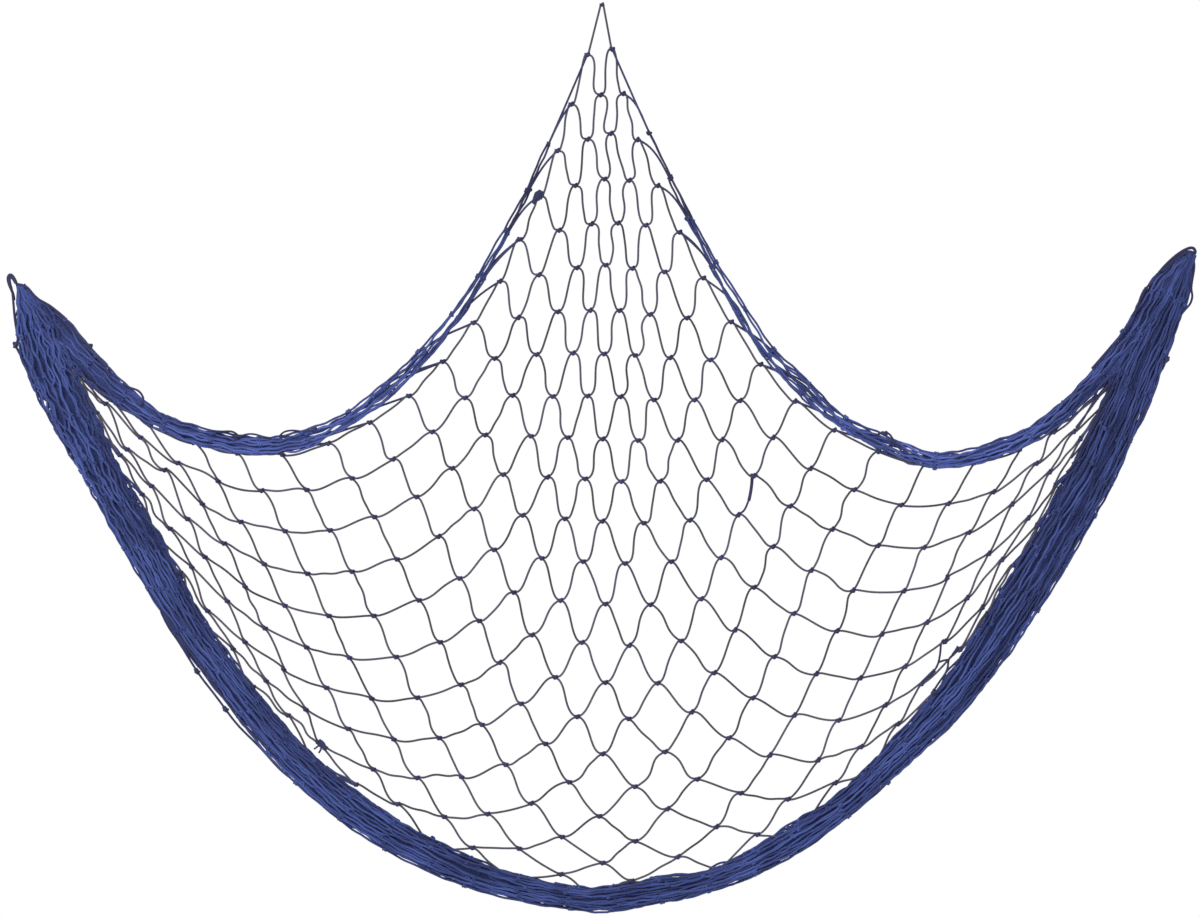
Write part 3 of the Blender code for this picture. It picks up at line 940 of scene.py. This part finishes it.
def build_loose(chance):
    """Eyes, loops and loose ends at the gathered parts, and mended places in the open net."""
    loops = Skein("loose_loops", LOOSE_SIDES)
    lay_loose(loops, LOOSE)
    for x, z, tilt in LOOSE_KNOTS:
        place = np.array((x, LOOSE_KNOT_DEPTH, z)) * MM
        tie(loops, place, *tilted(math.radians(tilt)), GATHERED_THREAD, chance.uniform(0.1, 0.4))
    spares = Skein("mended_twine", LOOSE_SIDES)
    wind_mend(spares, chance)
    lay_loose(spares, SPARE)
    return loops, spares


def wind_mend(skein, chance):
    """The winding of the mend, and the lump of twine in it with its loose end."""
    along = unit(np.array(MEND_ALONG))
    across = unit(np.array(MEND_ACROSS))
    coil = []
    for share in np.arange(MEND_POINTS) / (MEND_POINTS - 1.0):
        angle = TURN * MEND_TURNS * share
        swell = MEND_RADIUS[0] + MEND_RADIUS[1] * math.sin(math.pi * share)
        swell += chance.normal(0.0, 0.3)
        spoke = across * math.cos(angle) + INWARD * math.sin(angle)
        coil.append(MEND_MIDDLE + along * (share - 0.5) * MEND_LENGTH + spoke * swell)
    skein.lay(np.array(coil) * MM, 0.0013, 0.08)
    lump = MEND_MIDDLE + np.outer(np.linspace(-6.0, 10.0, 6), along)
    skein.lay(lump * MM, 0.0022, 0.1)


# ---- finish of the twine

class Value:
    """A number from a shader node, which adds Math nodes as it is used in sums."""

    def __init__(self, finish, socket):
        self.finish = finish
        self.socket = socket

    def sum(self, operation, first, second):
        sockets = {0: first, 1: second}
        return self.finish.value("ShaderNodeMath", {"operation": operation}, sockets, "Value")

    def __add__(self, other):
        return self.sum("ADD", self, other)

    def __radd__(self, other):
        return self.sum("ADD", other, self)

    def __sub__(self, other):
        return self.sum("SUBTRACT", self, other)

    def __rsub__(self, other):
        return self.sum("SUBTRACT", other, self)

    def __mul__(self, other):
        return self.sum("MULTIPLY", self, other)

    def __rmul__(self, other):
        return self.sum("MULTIPLY", other, self)

    def power(self, other):
        return self.sum("POWER", self, other)

    def sine(self):
        return self.sum("SINE", self, 0.0)

    def within(self, low, high):
        """The value spread from 0 at low to 1 at high, and held there."""
        settings = {"interpolation_type": "SMOOTHSTEP"}
        return self.finish.value("ShaderNodeMapRange", settings, {0: self, 1: low, 2: high},
                                 "Result")


class Finish:
    """The look of a material or of the room, and one way to add any node to it."""

    def __init__(self, owner):
        owner.use_nodes = True
        self.tree = owner.node_tree
        self.tree.nodes.clear()

    def node(self, kind, settings, sockets):
        """Add a node: its settings first, then what its sockets hold or are linked to."""
        made = self.tree.nodes.new(kind)
        for name, setting in settings.items():
            setattr(made, name, setting)
        for name, held in sockets.items():
            if isinstance(held, Value):
                held = held.socket
            if isinstance(held, bpy.types.NodeSocket):
                self.tree.links.new(held, made.inputs[name])
            else:
                made.inputs[name].default_value = held
        return made

    def value(self, kind, settings, sockets, output):
        return Value(self, self.node(kind, settings, sockets).outputs[output])

    def blend(self, share, first, second):
        """A colour between two colours."""
        mix = self.node("ShaderNodeMix", {"data_type": "RGBA"}, {0: share, 6: first, 7: second})
        return mix.outputs[2]


PLIES = 3                   # yarns twisted into one twine
LAY = 0.0045                # length of twine in which a yarn goes once round


def twine_finish(name, deep, plain, pale_fleck):
    """Twisted blue twine: grooves between its yarns, darkened with painted shade, fibres, and
    patches of paler dye.
    """
    material = bpy.data.materials.new(name)
    finish = Finish(material)
    deep, plain, pale_fleck = ((*colour, 1.0) for colour in (deep, plain, pale_fleck))
    wrap = finish.node("ShaderNodeUVMap", {"uv_map": "twist"}, {}).outputs["UV"]
    parts = finish.node("ShaderNodeSeparateXYZ", {}, {0: wrap})
    around = Value(finish, parts.outputs["X"])
    along = Value(finish, parts.outputs["Y"])
    places = finish.node("ShaderNodeTexCoord", {}, {}).outputs["Object"]
    tone = finish.value("ShaderNodeAttribute", {"attribute_name": "tone"}, {}, "Fac")
    fibres = finish.value("ShaderNodeTexNoise", {}, {
        "Vector": places, "Scale": 1500.0, "Detail": 3.0, "Roughness": 0.7}, "Fac")
    patches = finish.value("ShaderNodeTexNoise", {}, {
        "Vector": places, "Scale": 26.0, "Detail": 3.0, "Roughness": 0.6}, "Fac")

    turn = around * (TURN * PLIES) + along * (TURN * PLIES / LAY)
    yarn = turn.sine() * 0.5 + 0.5
    crown = yarn.power(0.6)
    groove = 1.0 - crown
    # How pale the twine is: its own tone and dye patches, together with the painted shade that the
    # tone carries.
    tone_dye_and_painted_shade = (tone * 0.70 + patches.within(0.35, 0.68) * 0.30).within(0.05, 0.90)
    colour = finish.blend(tone_dye_and_painted_shade, deep, plain)
    # Paler flecks of fibre on the crowns of the yarns.
    colour = finish.blend(crown * fibres.within(0.40, 0.75) * 0.40, colour, pale_fleck)
    # Painted shade: the grooves between the yarns are darkened towards the deep colour.
    colour = finish.blend(groove * 0.30, colour, deep)
    rough = 0.72 + fibres * 0.2
    height = crown + fibres * 0.35
    bump = finish.node("ShaderNodeBump", {}, {
        "Height": height, "Strength": 0.30, "Distance": 0.0004})
    shader = finish.node("ShaderNodeBsdfPrincipled", {}, {
        "Base Color": colour, "Roughness": rough, "Normal": bump.outputs["Normal"],
        "Metallic": 0.0, "Specular IOR Level": 0.35, "Sheen Weight": 0.12,
        "Sheen Roughness": 0.5})
    finish.node("ShaderNodeOutputMaterial", {}, {"Surface": shader.outputs["BSDF"]})
    return material


# Each finish of the twine: its deep colour, its plain colour, and the paler colour of flecks on the
# yarns' crowns. The net is one blue twine, and these four finishes are darker and paler copies of
# it by where it lies, so the differences between them are painted light and shade.
TWINES = {
    "single_twine": ((0.034, 0.033, 0.050), (0.092, 0.091, 0.130), (0.165, 0.163, 0.215)),
    "knotted_twine": ((0.016, 0.018, 0.065), (0.048, 0.052, 0.160), (0.100, 0.110, 0.260)),
    "swag_twine": ((0.017, 0.029, 0.140), (0.100, 0.150, 0.520), (0.190, 0.240, 0.500)),
    "gathered_twine": ((0.012, 0.022, 0.115), (0.062, 0.102, 0.370), (0.135, 0.185, 0.440)),
}

# ---- floor, light and camera

ROOM_LIGHT = 0.7            # light from the white room, which itself looks pure white
FLOOR_HEIGHT = -1.45
FLOOR = ((-3.0, -3.2, 0.0), (3.0, -3.2, 0.0), (3.0, 1.8, 0.0), (-3.0, 1.8, 0.0))
LAMPS = {                   # place, size and power
    "key_light": ((-1.4, -2.2, 1.1), 1.2, 44.0),
    "fill_light": ((1.8, -2.2, 0.2), 1.6, 10.0),
}
LAMPS_AIM = (0.0, 0.0, -0.45)


def build_floor():
    """A pale floor under the net."""
    material = bpy.data.materials.new("pale_floor")
    finish = Finish(material)
    shader = finish.node("ShaderNodeBsdfPrincipled", {}, {
        "Base Color": (0.82, 0.82, 0.81, 1.0), "Roughness": 0.8})
    finish.node("ShaderNodeOutputMaterial", {}, {"Surface": shader.outputs["BSDF"]})
    mesh = bpy.data.meshes.new("floor")
    mesh.from_pydata(FLOOR, [], ((0, 1, 2, 3),))
    mesh.materials.append(material)
    floor = put("floor", mesh)
    floor.location = (0.0, 0.0, FLOOR_HEIGHT)


def build_light():
    """A white room, and soft light from the front."""
    world = bpy.data.worlds.new("white_room")
    bpy.context.scene.world = world
    room = Finish(world)
    seen = room.node("ShaderNodeLightPath", {}, {}).outputs["Is Camera Ray"]
    glow = room.node("ShaderNodeMapRange", {}, {
        "Value": seen, "To Min": ROOM_LIGHT, "To Max": 1.0})
    white = room.node("ShaderNodeBackground", {}, {
        "Color": (1.0, 1.0, 1.0, 1.0), "Strength": glow.outputs["Result"]})
    room.node("ShaderNodeOutputWorld", {}, {"Surface": white.outputs["Background"]})

    for name, (place, size, power) in LAMPS.items():
        lamp = bpy.data.lights.new(name, "AREA")
        lamp.size = size
        lamp.energy = power
        light = put(name, lamp)
        light.location = place
        aim = np.array(LAMPS_AIM) - np.array(place)
        heading = math.atan2(aim[1], aim[0]) - math.pi / 2.0
        dip = math.atan2(aim[2], math.hypot(aim[0], aim[1]))
        light.rotation_euler = (math.pi / 2.0 + dip, 0.0, heading)


VIEW_WIDTH = 1.2631         # width of the picture in the plane of the net
VIEW_MIDDLE = (-0.0021, -0.4774)
LENS = 100.0
SENSOR = 36.0


def build_camera():
    """A long lens straight in front of the net."""
    lens = bpy.data.cameras.new("camera")
    lens.lens = LENS
    lens.sensor_width = SENSOR
    lens.clip_end = 50.0
    camera = put("camera", lens)
    distance = VIEW_WIDTH * LENS / SENSOR
    camera.location = (VIEW_MIDDLE[0], -distance, VIEW_MIDDLE[1])
    camera.rotation_euler = (math.pi / 2.0, 0.0, 0.0)
    bpy.context.scene.camera = camera


# ---- all together

def main():
    open_twine, knot_twine, swag_twine, gathered_twine = (
        twine_finish(name, *colours) for name, colours in TWINES.items())
    chance = np.random.default_rng(12)
    band = Bundle(BAND, 1.0)
    places = hanging_knots()
    lay_on_band(places, band)
    knots, open_bars, open_ties = build_open_net(places, chance)
    bars = open_bars.finish(open_twine)
    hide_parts("net")
    open_ties.finish(knot_twine)
    swags = (("left_swag", Bundle(LEFT_SWAG, 1.0), True),
             ("right_swag", Bundle(RIGHT_SWAG, -1.0), False))
    for name, bundle, to_left in swags:
        gathered, start = build_swag(name, bundle, knots, to_left, chance)
        gathered.finish(swag_twine)
        start.finish(knot_twine)
    for skein in build_band(band, knots, chance):
        skein.finish(gathered_twine)
    loops, spares = build_loose(chance)
    loops.finish(knot_twine)
    spares.finish(knot_twine)
    build_floor()
    build_light()
    build_camera()
    bpy.context.scene.view_settings.view_transform = "Standard"


main()
